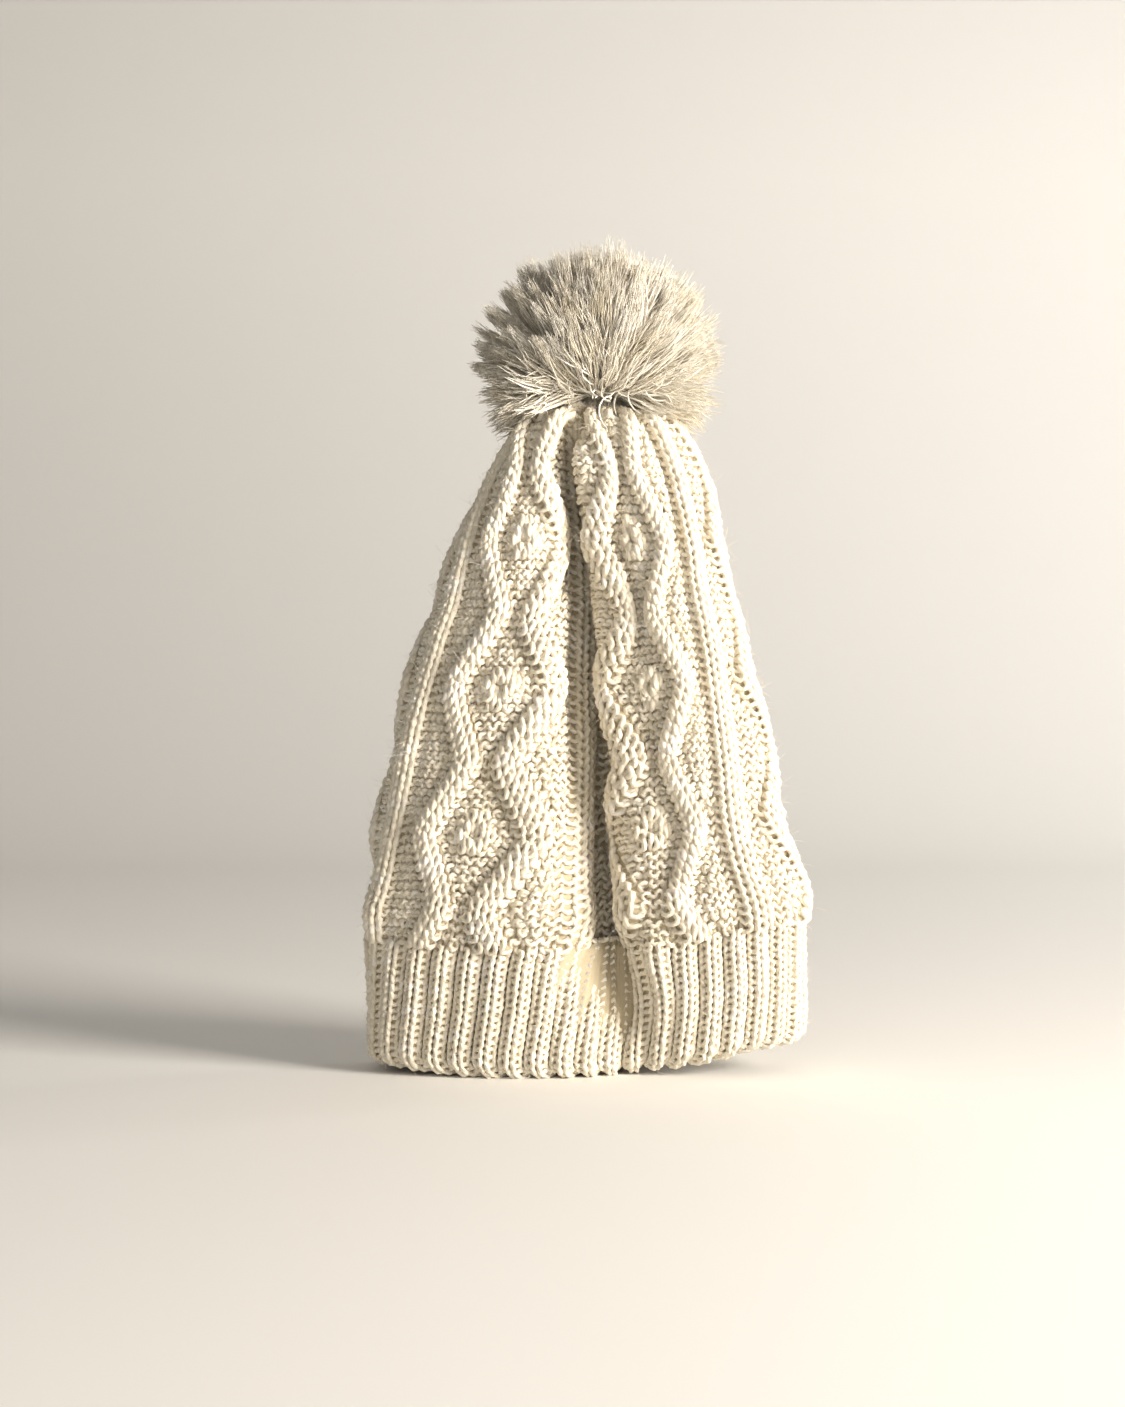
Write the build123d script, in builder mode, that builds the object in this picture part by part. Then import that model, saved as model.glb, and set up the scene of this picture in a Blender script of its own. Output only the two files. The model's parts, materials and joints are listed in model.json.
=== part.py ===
from build123d import *
import math
import os

# A cable-knit beanie with a yarn pompom, hanging limp by its pompom (mm).
# +Z is up, the front faces -Y, the origin is the middle of the head opening.
# The knitted tube hangs flattened: its back is nearly flat and one deep fold
# runs down its front. Every horizontal section of it is a flattened oval whose
# front is pushed in by that fold.

# ---- sizes of the hat ----
HAT_HEIGHT = 290.0          # hem to gathered crown
BRIM_HEIGHT = 56.0          # ribbed band
BRIM_HALF_WIDTH = 97.0      # the band lies this far each side of the middle
CROWN_HALF_WIDTH = 31.0     # the gathered top
FRONT_DEPTH = 33.0          # middle of the hat to the front lobes
BACK_DEPTH = 28.0           # middle of the hat to the back
CROWN_DEPTH = 23.0          # half depth of the gathered top
CROWN_SHIFT = 6.0           # the tie sits this far to the right of the middle
FOLD_DEPTH = 31.0           # deepest part of the front fold
FOLD_LEFT = 16.0            # run of the fold's steep left side
FOLD_RIGHT = 26.0           # run of the fold's gentle right side

# ---- thicknesses of the knitted layers ----
BODY_WALL = 6.0             # cable-knit fabric
BAND_WALL = 4.6             # outer layer of the ribbed band
FACING_WALL = 4.2           # inner layer of the ribbed band
TOP_WALL = 14.0             # bunched fabric under the tie

# ---- yarns and threads ----
YARN_RADIUS = 1.3           # the knitting yarn, which sews the seams too
CHAIN_HEIGHT = 3.0          # linking chain over the facing's edge
CHAIN_GAP = 0.5             # the chain stays this far off the tube around it
LAYER_GAP = 0.2             # what lies inside the wall stays this far off it
SEAM_GAP = 2.0              # the seams stop this short of an edge
DRAW_RADIUS = 9.0           # ring of the drawn-up thread
DRAW_WIDTH = 2.4
DRAW_HEIGHT = 0.9
TIE_RADIUS = 1.6            # doubled thread that holds the pompom
KNOT_RADIUS = 5.0
KNOT_HEIGHT = 6.0

# ---- sizes of the pompom ----
POMPOM_RADIUS = 53.0
POMPOM_HALF_HEIGHT = 43.0
POMPOM_LIFT = 32.0          # crown top to the pompom's middle
SHANK_LIFT = 2.0            # crown top to the tie's lower bend
SHANK_LENGTH = 6.0          # lower bend to upper bend
CORE_LIFT = 2.0             # upper bend to the bound strands
CORE_HEIGHT = 11.0
CORE_RADIUS = 9.5           # where the bound strands fan out
WAIST_RADIUS = 6.0          # where the binding squeezes them
BINDING_RADIUS = 1.8        # the wound cord
ARCH_RADIUS = 26.0          # the pile arches over the crown, highest here
ARCH_RISE = 7.5
SKIRT_RADIUS = 38.0         # outside this the pile hangs back down
SKIRT_RISE = 1.0

BACK_POINTS = 18            # of a section's outline
LOBE_POINTS = 17            # of each front lobe, closer together near the fold
OVAL = 2.7                  # 2 is an ellipse, larger is boxier

# the front fold runs the hat's whole height: shallow at the hem, deepest between
# these two shares of the height, and drawn together again in the crown
FOLD_FULL_FROM = 0.40
FOLD_FULL_TO = 0.70
FOLD_AT_HEM = 0.30          # share of its depth left there
FOLD_AT_CROWN = 0.42
FOLD_HEM_PLACE = 17.0       # right of the middle at the hem
FOLD_DRIFT = 28.0           # how far it wanders left on the way up


def smooth(t):
    t = min(1.0, max(0.0, t))
    return t * t * (3 - 2 * t)


def fold_share(t):
    """The fold's share of its full depth at this share of the hat's height."""
    if t < FOLD_FULL_TO:
        return FOLD_AT_HEM + (1 - FOLD_AT_HEM) * smooth(t / FOLD_FULL_FROM)
    return 1 - (1 - FOLD_AT_CROWN) * smooth((t - FOLD_FULL_TO) / (1 - FOLD_FULL_TO))


def fold_place(t):
    return FOLD_HEM_PLACE - FOLD_DRIFT * t ** 1.4


def half_width(z):
    """Half the hat's width at height z: straight band, then narrowing to the crown."""
    t = max(0.0, (z - BRIM_HEIGHT) / (HAT_HEIGHT - BRIM_HEIGHT))
    narrowing = (1 - min(t, 1.0) ** 1.7) ** 0.85
    return CROWN_HALF_WIDTH + (BRIM_HALF_WIDTH - CROWN_HALF_WIDTH) * narrowing


def half_depth(z, depth):
    t = min(1.0, z / HAT_HEIGHT)
    return CROWN_DEPTH + (depth - CROWN_DEPTH) * (1 - t ** 3)


def section_point(z, inset, turn):
    """A point of the hat's section at height z, drawn in by inset, at this turn."""
    t = min(1.0, z / HAT_HEIGHT)
    c, s = math.cos(turn), math.sin(turn)
    wide = half_width(z)
    depth = half_depth(z, BACK_DEPTH if s > 0 else FRONT_DEPTH) - inset
    x = (wide - inset) * math.copysign(abs(c) ** (2 / OVAL), c)
    y = depth * math.copysign(abs(s) ** (2 / OVAL), s)
    if s < 0:
        slim = wide / BRIM_HALF_WIDTH
        place = fold_place(t)
        left = FOLD_LEFT * slim + 0.4 * inset
        right = FOLD_RIGHT * slim + 0.4 * inset
        run = left if x < place else right
        push = math.exp(-(((x - place) / run) ** 2))
        y += FOLD_DEPTH * fold_share(t) * push * min(1.0, 3 * abs(s))
    return (x + CROWN_SHIFT * t ** 3, y)


def section_turns(z, inset):
    """Turns round the section, kept in step with the fold as it wanders."""
    t = min(1.0, z / HAT_HEIGHT)
    across = fold_place(t) / (half_width(z) - inset)
    fold = 1.5 * math.pi + math.asin(math.copysign(abs(across) ** (OVAL / 2), across))
    back = [math.pi * (i + 0.5) / BACK_POINTS for i in range(BACK_POINTS)]
    steps = [(i + 0.5) / LOBE_POINTS for i in range(LOBE_POINTS)]
    near = [(step + math.sin(math.pi / 2 * step)) / 2 for step in steps]
    left = [math.pi + (fold - math.pi) * share for share in near]
    right = [2 * math.pi - (2 * math.pi - fold) * share for share in reversed(near)]
    return back + left + right


def hat_form(heights, inset):
    """The solid inside the hat's surface, drawn in by inset, over these heights."""
    with BuildPart() as form:
        for z in heights:
            points = [section_point(z, inset, turn) for turn in section_turns(z, inset)]
            with BuildSketch(Plane.XY.offset(z)):
                with BuildLine():
                    Spline(*points, periodic=True)
                make_face()
        loft()
    return form.part


def seam_form(heights, inset):
    """A round yarn running up the middle of the back, against the surface at inset."""
    with BuildPart() as form:
        for z in heights:
            x, y = section_point(z, inset + LAYER_GAP, math.pi / 2)
            with BuildSketch(Plane.XY.offset(z)):
                with Locations((x, y - YARN_RADIUS)):
                    Circle(YARN_RADIUS)
        loft()
    return form.part


def levels(low, high, count):
    return [low + (high - low) * i / (count - 1) for i in range(count)]


def save(piece, name):
    piece.label = name
    export_step(piece, f"parts/{name}.step")


os.makedirs("parts", exist_ok=True)
BRIM_LEVELS = levels(0.0, BRIM_HEIGHT, 4)
CHAIN_LEVELS = levels(BRIM_HEIGHT, BRIM_HEIGHT + CHAIN_HEIGHT, 2)
BRIM_WALLS = BAND_WALL + FACING_WALL
SHOULDER = 12.0             # below the top, where the crown turns in fast
INNER_TOP = HAT_HEIGHT - TOP_WALL

# ---- the cable-knit tube, open below, gathered and thick at the top ----
with BuildPart() as crown_body:
    outside = levels(BRIM_HEIGHT, HAT_HEIGHT - SHOULDER, 12)
    add(hat_form(outside + levels(HAT_HEIGHT - SHOULDER / 2, HAT_HEIGHT, 3), 0))
    add(hat_form(levels(BRIM_HEIGHT, INNER_TOP, 12), BODY_WALL), mode=Mode.SUBTRACT)
    with BuildSketch(Plane.XY.offset(HAT_HEIGHT)):
        with Locations((CROWN_SHIFT, 0)):
            Circle(TIE_RADIUS)
    extrude(amount=-1.5 * TOP_WALL, mode=Mode.SUBTRACT)
save(crown_body.part, "crown_body")

# ---- the ribbed band: outer layer, and the layer turned up inside it ----
with BuildPart() as brim_band:
    add(hat_form(BRIM_LEVELS, 0))
    add(hat_form(BRIM_LEVELS, BAND_WALL), mode=Mode.SUBTRACT)
save(brim_band.part, "brim_band")

with BuildPart() as brim_facing:
    add(hat_form(BRIM_LEVELS, BAND_WALL))
    add(hat_form(BRIM_LEVELS, BRIM_WALLS), mode=Mode.SUBTRACT)
save(brim_facing.part, "brim_facing")

# ---- the chain that links the facing's edge to the tube, inside ----
with BuildPart() as linking_chain:
    add(hat_form(CHAIN_LEVELS, BODY_WALL + CHAIN_GAP))
    add(hat_form(CHAIN_LEVELS, BRIM_WALLS), mode=Mode.SUBTRACT)
save(linking_chain.part, "linking_chain")

# ---- the sewn back seams of the facing and of the tube, inside ----
with BuildPart() as brim_seam:
    add(seam_form(levels(SEAM_GAP, BRIM_HEIGHT - SEAM_GAP, 3), BRIM_WALLS))
save(brim_seam.part, "brim_seam")

with BuildPart() as crown_seam:
    low = BRIM_HEIGHT + CHAIN_HEIGHT + SEAM_GAP
    add(seam_form(levels(low, INNER_TOP - SEAM_GAP, 7), BODY_WALL))
save(crown_seam.part, "crown_seam")

# ---- the drawn-up thread that closes the crown, lying on its top ----
with BuildPart() as draw_thread:
    with BuildSketch(Plane.XY.offset(HAT_HEIGHT)):
        with Locations((CROWN_SHIFT, 0)):
            Circle(DRAW_RADIUS + DRAW_WIDTH / 2)
            Circle(DRAW_RADIUS - DRAW_WIDTH / 2, mode=Mode.SUBTRACT)
    extrude(amount=DRAW_HEIGHT)
    fillet(draw_thread.faces().sort_by(Axis.Z)[-1].edges(), DRAW_HEIGHT / 2)
save(draw_thread.part, "draw_thread")

# ---- the tie's fixed end: knotted inside, up through the bunched crown ----
with BuildPart() as anchor_thread:
    with BuildSketch(Plane.XY.offset(INNER_TOP - KNOT_HEIGHT)):
        with Locations((CROWN_SHIFT, 0)):
            Circle(KNOT_RADIUS)
    extrude(amount=KNOT_HEIGHT)
    fillet(anchor_thread.edges(), 0.4 * KNOT_HEIGHT)
    with BuildSketch(Plane.XY.offset(INNER_TOP - KNOT_HEIGHT / 2)):
        with Locations((CROWN_SHIFT, 0)):
            Circle(TIE_RADIUS)
    extrude(amount=TOP_WALL + KNOT_HEIGHT / 2)
save(anchor_thread.part, "anchor_thread")

# ---- the tie's free length, round at both bends ----
LOWER_BEND = HAT_HEIGHT + SHANK_LIFT
UPPER_BEND = LOWER_BEND + SHANK_LENGTH
SPIN_AXIS = Plane(origin=(CROWN_SHIFT, 0, 0), x_dir=(1, 0, 0), z_dir=(0, -1, 0))

with BuildPart() as pompom_tie:
    with BuildSketch(Plane.XY.offset(LOWER_BEND)):
        with Locations((CROWN_SHIFT, 0)):
            Circle(TIE_RADIUS)
    extrude(amount=SHANK_LENGTH)
    with Locations((CROWN_SHIFT, 0, LOWER_BEND), (CROWN_SHIFT, 0, UPPER_BEND)):
        Sphere(TIE_RADIUS)
save(pompom_tie.part, "pompom_tie")

# ---- the binding cord, wound round the waist of the strands ----
CORE_BASE = UPPER_BEND + CORE_LIFT
CORE_TOP = CORE_BASE + CORE_HEIGHT
WAIST = (CORE_BASE + CORE_TOP) / 2

with BuildPart() as pompom_binding:
    with Locations((CROWN_SHIFT, 0, WAIST)):
        Torus(WAIST_RADIUS + BINDING_RADIUS / 2, BINDING_RADIUS)
save(pompom_binding.part, "pompom_binding")

# ---- the strands' middles, squeezed at the waist, fanning out above and below ----
with BuildPart() as pompom_core:
    with BuildSketch(SPIN_AXIS):
        with BuildLine():
            Line((0, CORE_BASE), (CORE_RADIUS, CORE_BASE))
            ThreePointArc((CORE_RADIUS, CORE_BASE), (WAIST_RADIUS, WAIST), (CORE_RADIUS, CORE_TOP))
            Line((CORE_RADIUS, CORE_TOP), (0, CORE_TOP))
            Line((0, CORE_TOP), (0, CORE_BASE))
        make_face()
    revolve(axis=Axis((CROWN_SHIFT, 0, 0), (0, 0, 1)))
    add(pompom_binding.part, mode=Mode.SUBTRACT)
save(pompom_core.part, "pompom_core")

# ---- the loose strands: a round pile, arched underneath over the crown ----
MIDDLE = HAT_HEIGHT + POMPOM_LIFT
SKIRT_LEVEL = CORE_BASE + SKIRT_RISE
SKIRT_ANGLE = math.asin((MIDDLE - SKIRT_LEVEL) / POMPOM_HALF_HEIGHT)

with BuildPart() as pompom_pile:
    with BuildSketch(SPIN_AXIS):
        with BuildLine():
            angles = levels(-SKIRT_ANGLE, math.pi / 2, 9)
            rim = [(POMPOM_RADIUS * math.cos(a), POMPOM_HALF_HEIGHT * math.sin(a)) for a in angles]
            outside = Spline(*[(x, MIDDLE + z) for x, z in rim[:-1]], (0, MIDDLE + POMPOM_HALF_HEIGHT))
            skirt = Line(outside @ 0, (SKIRT_RADIUS, SKIRT_LEVEL))
            arch = ThreePointArc(
                skirt @ 1, (ARCH_RADIUS, CORE_BASE + ARCH_RISE), (CORE_RADIUS, CORE_BASE)
            )
            Polyline(arch @ 1, (CORE_RADIUS, CORE_TOP), (0, CORE_TOP), outside @ 1)
        make_face()
    revolve(axis=Axis((CROWN_SHIFT, 0, 0), (0, 0, 1)))
save(pompom_pile.part, "pompom_pile")
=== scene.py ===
# %% [markdown]
# # A cable-knit beanie with a yarn pompom
#
# The hat is one knitted tube: a ribbed band, folded up double, and above it a body of raised
# stripes and wavy bands on a purl ground, drawn together at the top. A pompom hangs on a short
# tie. A knitted fabric could be one smooth surface with a stitch pattern drawn on it. Here each
# course of stitches is a real yarn that loops along the hat's surface, because ribs, bands and
# the holes between stitches then catch the light by themselves.

# %% The hat's frame
import json
import math

import bpy
import numpy as np
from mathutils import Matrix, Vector
from mathutils.bvhtree import BVHTree

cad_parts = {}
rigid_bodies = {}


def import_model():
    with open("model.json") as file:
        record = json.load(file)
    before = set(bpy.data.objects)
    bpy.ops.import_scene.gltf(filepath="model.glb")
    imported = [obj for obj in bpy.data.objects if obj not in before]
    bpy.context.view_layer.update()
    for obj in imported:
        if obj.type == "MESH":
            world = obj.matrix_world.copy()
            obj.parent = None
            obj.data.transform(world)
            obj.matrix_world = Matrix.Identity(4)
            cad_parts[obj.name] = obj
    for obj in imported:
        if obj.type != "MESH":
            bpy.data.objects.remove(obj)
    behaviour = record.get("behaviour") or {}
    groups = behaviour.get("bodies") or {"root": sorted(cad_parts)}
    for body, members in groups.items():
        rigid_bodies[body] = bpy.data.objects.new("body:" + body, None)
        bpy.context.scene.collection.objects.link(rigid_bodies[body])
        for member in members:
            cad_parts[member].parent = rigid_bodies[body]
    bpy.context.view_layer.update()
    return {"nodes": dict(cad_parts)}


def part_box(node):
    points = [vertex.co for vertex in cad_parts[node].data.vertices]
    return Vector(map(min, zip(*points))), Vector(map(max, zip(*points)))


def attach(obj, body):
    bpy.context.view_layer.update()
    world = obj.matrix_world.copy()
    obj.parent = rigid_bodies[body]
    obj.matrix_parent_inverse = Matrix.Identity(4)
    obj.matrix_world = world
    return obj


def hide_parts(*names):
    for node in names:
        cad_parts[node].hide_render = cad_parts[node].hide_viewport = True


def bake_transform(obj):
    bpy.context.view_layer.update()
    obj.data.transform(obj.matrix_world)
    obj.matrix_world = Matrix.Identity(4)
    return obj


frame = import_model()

MM = 0.001
rng = np.random.default_rng(11)

# %% [markdown]
# ## Colours and nodes
#
# Colours are written as the hex codes a paint chart gives, which Blender wants as linear light.
# One helper adds a node, sets what it needs and joins it to the nodes before it.


# %% Helpers for colours and nodes
def linear(code):
    """The linear colour of an sRGB hex code."""
    parts = [int(code[i : i + 2], 16) / 255 for i in (1, 3, 5)]
    return [c / 12.92 if c <= 0.04045 else ((c + 0.055) / 1.055) ** 2.4 for c in parts] + [1]


def add(tree, kind, sockets=(), **settings):
    """A new node with its settings; sockets maps an input to a value or to another's output."""
    node = tree.nodes.new(kind)
    for name, value in settings.items():
        setattr(node, name, value)
    for socket, value in dict(sockets).items():
        if isinstance(value, bpy.types.NodeSocket):
            tree.links.new(value, node.inputs[socket])
        else:
            node.inputs[socket].default_value = value
    return node


def put(name, mesh):
    """A new object of that mesh, at the origin."""
    piece = bpy.data.objects.new(name, mesh)
    bpy.context.scene.collection.objects.link(piece)
    return piece


# %% [markdown]
# ## Wool yarn
#
# The yarn is a soft blend of wool and acrylic, spun, then two plies twisted together. It has no
# gloss of its own: light scatters among the fibres, so the surface is rough, a little light
# passes in and out again, which the material leaves out (its subsurface weight is 0), and fine
# fibres standing out of the yarn give a pale sheen at grazing angles. Two bumps are laid over
# each other: the turns of the ply, which follow the yarn by the length and angle stored on it,
# and the fibres, a fine noise about a quarter of a millimetre wide.


# %% A material for spun yarn
def yarn_material(name, code, roughness=0.92, sheen=0.3, ply_pitch=5.0, ply_height=0.26):
    """Two-ply yarn: ply_pitch is the length of one turn and ply_height its relief, in mm."""
    material = bpy.data.materials.new(name)
    material.use_nodes = True
    tree = material.node_tree
    tree.nodes.clear()
    place = add(tree, "ShaderNodeTexCoord")
    along = add(tree, "ShaderNodeAttribute", attribute_name="along")
    around = add(tree, "ShaderNodeAttribute", attribute_name="around")
    side = add(tree, "ShaderNodeSeparateXYZ", {"Vector": around.outputs["Vector"]})
    angle = add(
        tree, "ShaderNodeMath", {0: side.outputs["Y"], 1: side.outputs["X"]}, operation="ARCTAN2"
    )
    turns = add(
        tree,
        "ShaderNodeMath",
        {0: along.outputs["Fac"], 1: 2 * math.pi / (ply_pitch * MM)},
        operation="MULTIPLY",
    )
    twist = add(
        tree,
        "ShaderNodeMath",
        {0: angle.outputs[0], 1: 2.0, 2: turns.outputs[0]},
        operation="MULTIPLY_ADD",
    )
    plies = add(tree, "ShaderNodeMath", {0: twist.outputs[0]}, operation="SINE")
    fibres = add(
        tree,
        "ShaderNodeTexNoise",
        {"Vector": place.outputs["Object"], "Scale": 1 / (0.5 * MM), "Detail": 3.0},
    )
    ply_bump = add(
        tree,
        "ShaderNodeBump",
        {"Height": plies.outputs[0], "Strength": 0.6, "Distance": ply_height * MM},
    )
    fibre_bump = add(
        tree,
        "ShaderNodeBump",
        {
            "Height": fibres.outputs["Fac"],
            "Strength": 0.8,
            "Distance": 0.35 * MM,
            "Normal": ply_bump.outputs["Normal"],
        },
    )
    shader = add(
        tree,
        "ShaderNodeBsdfPrincipled",
        {
            "Base Color": linear(code),
            "Roughness": roughness,
            "IOR": 1.5,
            "Specular IOR Level": 0.25,
            "Sheen Weight": sheen,
            "Sheen Roughness": 0.5,
            "Subsurface Weight": 0.0,
            "Normal": fibre_bump.outputs["Normal"],
        },
    )
    shader.inputs["Sheen Tint"].default_value = linear("#FFF6E4")
    add(tree, "ShaderNodeOutputMaterial", {"Surface": shader.outputs[0]})
    return material


CREAM = yarn_material("wool_blend_cream_two_ply", "#EBE3D1")
CREAM_PALE = yarn_material("wool_blend_cream_paler_lot", "#F2ECE0")
CREAM_DEEP = yarn_material("wool_blend_cream_deeper_lot", "#E3DAC9")
POM_WARM = yarn_material("brushed_wool_warm_cream", "#F5EEDF", 0.95, 0.5, 5.0, 0.08)
POM_PALE = yarn_material("brushed_wool_pale_cream", "#FBF6EB", 0.95, 0.5, 5.0, 0.08)
POM_DEEP = yarn_material("brushed_wool_deep_cream", "#EEE5D1", 0.95, 0.5, 5.0, 0.08)
SEWING = yarn_material("polyester_tie_thread_two_ply", "#EDE4CF", 0.6, 0.1, 1.2, 0.15)
HAIR = yarn_material("loose_wool_fibre", "#FBF4E4", 0.8, 0.6, 9.0, 0.0)
print("yarn materials:", [m.name for m in (CREAM, CREAM_PALE, CREAM_DEEP, SEWING, HAIR)])

# %% [markdown]
# ## The hat's surface, read from the frame
#
# Stitches need a place on the hat for every column and course. Rays are shot at the frame's body
# and band from all round, at many heights, towards a point just behind the front fold, which
# sees the whole outline. The outline's length is then shared out in 160 steps of about 2.8 mm,
# called columns here, from the fold's bottom round each side to the middle of the back. A rib is
# four columns wide. Near the fold, they follow how the fold wanders across the pattern.

# %% Measure the outline at every height
COLUMNS = 160
COLUMN_WIDTH = 3.1  # in mm, nominal, with the fabric laid flat
BACK = 86
FIRST = BACK - COLUMNS
STEP = 4
RAYS = 900
CENTRE_DEPTH = 11 * MM
FAR = 0.3
FOLD_AT_START = 10.9
FOLD_SLANT = 0.0457


def skin(node):
    """A ray target made of a CAD node's faces."""
    mesh = frame["nodes"][node].data
    return BVHTree.FromPolygons([v.co[:] for v in mesh.vertices], [p.vertices[:] for p in mesh.polygons])


def shoot(target, start, way):
    """Where a ray first meets the target."""
    hit = target.ray_cast(Vector(start), Vector(way))[0]
    return None if hit is None else np.array(hit)


def fold_and_middle(target, z):
    """The x of the front fold's bottom and of the section's middle."""
    right = shoot(target, (FAR, 0, z), (-1, 0, 0))[0]
    left = shoot(target, (-FAR, 0, z), (1, 0, 0))[0]
    middle, half = (left + right) / 2, (right - left) / 2
    tries = np.linspace(middle - 0.6 * half, middle + 0.6 * half, 61)
    depths = [shoot(target, (x, -FAR, z), (0, 1, 0))[1] for x in tries]
    return tries[int(np.argmax(depths))], middle


def outline(target, z, fold_x, inside=None):
    """Points all round the outline at that height, from the fold's bottom to the right and back.
    With inside, the points of that node's inner wall at the same angles."""
    points = []
    for i in range(RAYS + 1):
        a = -math.pi / 2 + 2 * math.pi * i / RAYS
        way = np.array([math.cos(a), math.sin(a), 0.0])
        middle = np.array([fold_x, CENTRE_DEPTH, z])
        if inside is None:
            points.append(shoot(target, middle + FAR * way, -way))
        else:
            points.append(shoot(inside, middle, way))
    return np.array(points)


def fold_column(z):
    """How many columns right of the middle stripe the fold's bottom lies."""
    return np.maximum(FOLD_AT_START - FOLD_SLANT * z / MM, 0.5)


def shared_out(points, middle, z):
    """Fractions of an index into points, one for each quarter column."""
    lengths = np.r_[0, np.cumsum(np.linalg.norm(np.diff(points, axis=0), axis=1))]
    behind = np.arange(RAYS + 1)[(points[:, 1] > CENTRE_DEPTH)]
    back = behind[np.argmin(np.abs(points[behind, 0] - middle))]
    u = np.arange(FIRST, BACK + 0.001, 1 / STEP)
    fold = fold_column(z)
    right = (u - fold) / (BACK - fold) * lengths[back]
    left = lengths[-1] - (fold - u) / (fold - FIRST) * (lengths[-1] - lengths[back])
    return np.interp(np.where(u >= fold, right, left), lengths, np.arange(RAYS + 1))


def at(points, places):
    """The points at fractional indices."""
    i = np.clip(places.astype(int), 0, RAYS - 1)
    part = (places - i)[:, None]
    return points[i] * (1 - part) + points[i + 1] * part


body_skin, band_skin, facing_skin = skin("crown_body"), skin("brim_band"), skin("brim_facing")
BAND_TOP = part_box("brim_band")[1].z
HAT_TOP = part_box("crown_body")[1].z
TURN = 4.4 * MM
body_heights = np.linspace(BAND_TOP + 0.4 * MM, HAT_TOP - 0.6 * MM, 60)
band_heights = np.linspace(TURN, BAND_TOP - 0.4 * MM, 14)


def fold_line(target, heights):
    """The fold's and the section's middle at each height, as smooth curves."""
    found = np.array([fold_and_middle(target, z) for z in heights])
    folds = np.polyval(np.polyfit(heights, found[:, 0], 4), heights)
    middles = np.polyval(np.polyfit(heights, found[:, 1], 4), heights)
    return folds, middles


def table_of(target, heights):
    """The surface's points by height and by quarter column."""
    folds, middles = fold_line(target, heights)
    rows = []
    for z, fold, middle in zip(heights, folds, middles):
        points = outline(target, z, fold)
        rows.append(at(points, shared_out(points, middle, z)))
    return np.array(rows)


body_table = table_of(body_skin, body_heights)
print("body outline read at", len(body_heights), "heights; length at the bottom",
      round(float(np.linalg.norm(np.diff(body_table[0], axis=0), axis=1).sum()), 3), "m")

# %% [markdown]
# ## The folded band and the gathered top
#
# The band's outer layer turns round the hem and runs up inside as the facing. Its surface is
# therefore one strip: down the outside, round a half circle at the hem, and up the inside. The
# top is gathered by a drawn thread, so from the body's rim the surface runs in to a small ring.

# %% Complete the two strips
RING = 7.5 * MM
GATHER = 21
TIE_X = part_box("pompom_tie")[0].x / 2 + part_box("pompom_tie")[1].x / 2


def band_strips():
    """Positions along the band's strip, and its points there."""
    folds, middles = fold_line(band_skin, band_heights)
    outer, inner = [], []
    for z, fold, middle in zip(band_heights, folds, middles):
        points = outline(band_skin, z, fold)
        places = shared_out(points, middle, z)
        outer.append(at(points, places))
        inner.append(at(outline(None, z, fold, facing_skin), places))
    outer, inner = np.array(outer), np.array(inner)
    centre, half = (outer[0] + inner[0]) / 2, (outer[0] - inner[0]) / 2
    round_it = []
    angles = np.linspace(0, math.pi, 8)[1:-1]
    for a in angles:
        drop = np.linalg.norm(half, axis=1) * math.sin(a)
        drop = np.minimum(drop, TURN - 0.4 * MM)
        round_it.append(centre + half * math.cos(a) - np.outer(drop, [0, 0, 1]))
    turn_places = TURN - angles * TURN
    inside_places = TURN - math.pi * TURN - (band_heights - TURN)
    places = np.r_[inside_places[::-1], turn_places[::-1], band_heights]
    points = np.concatenate([inner[::-1], np.array(round_it)[::-1], outer])
    return places, points


def top_strip():
    """Positions past the body's rim, and the points running in to the drawn ring."""
    rim = body_table[-1]
    away = rim - np.array([TIE_X, 0, HAT_TOP])
    away[:, 2] = 0
    ring = np.array([TIE_X, 0, HAT_TOP]) + RING * away / np.linalg.norm(away, axis=1)[:, None]
    steps = np.linspace(0, 1, 7)[1:]
    points = [rim * (1 - t) + ring * t + np.array([0, 0, 0.8 * MM * math.sin(math.pi * t)]) for t in steps]
    return body_heights[-1] + steps * GATHER * MM, np.array(points)


band_places, band_table = band_strips()
top_places, top_table = top_strip()
body_places = np.r_[body_heights, top_places]
body_table = np.concatenate([body_table, top_table])
print("band strip", [round(x / MM, 1) for x in band_places[[0, -1]]], "mm, body strip",
      [round(x / MM, 1) for x in body_places[[0, -1]]], "mm")

# %% [markdown]
# ## How the hat hangs
#
# Hung from its pompom, the hat's hem isn't level: its right side rides up, and the lowest point
# lies left of the middle. The lift fades out towards the top. The surface is a table, so any
# place on it comes from its four neighbours, with the outward direction from the table's slopes.


# %% Lift the hem and look up places
def smooth(t):
    t = np.clip(t, 0, 1)
    return t * t * (3 - 2 * t)


LEVEL_FROM = 0.29


def hung(points):
    """The points, lifted as the hem hangs, with the right side of the body hanging in a little."""
    points = points.copy()
    x = points[..., 0] / MM
    z = points[..., 2] / MM
    points[..., 0] -= 8 * MM * smooth((x - 20) / 60) * smooth((z - 50) / 60) * smooth((270 - z) / 60)
    lift = 3.5 * smooth((-20 - x) / 80) + 13.5 * smooth((x - 2) / 100)
    points[..., 2] += lift * MM * np.clip(1 - points[..., 2] / LEVEL_FROM, 0, 1) ** 0.8
    return points


FOLD_CREASE = 15.0
FOLD_LAP = 9.0
FLANK_SINK = 13.0
LIP_RISE = 8.0


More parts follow.
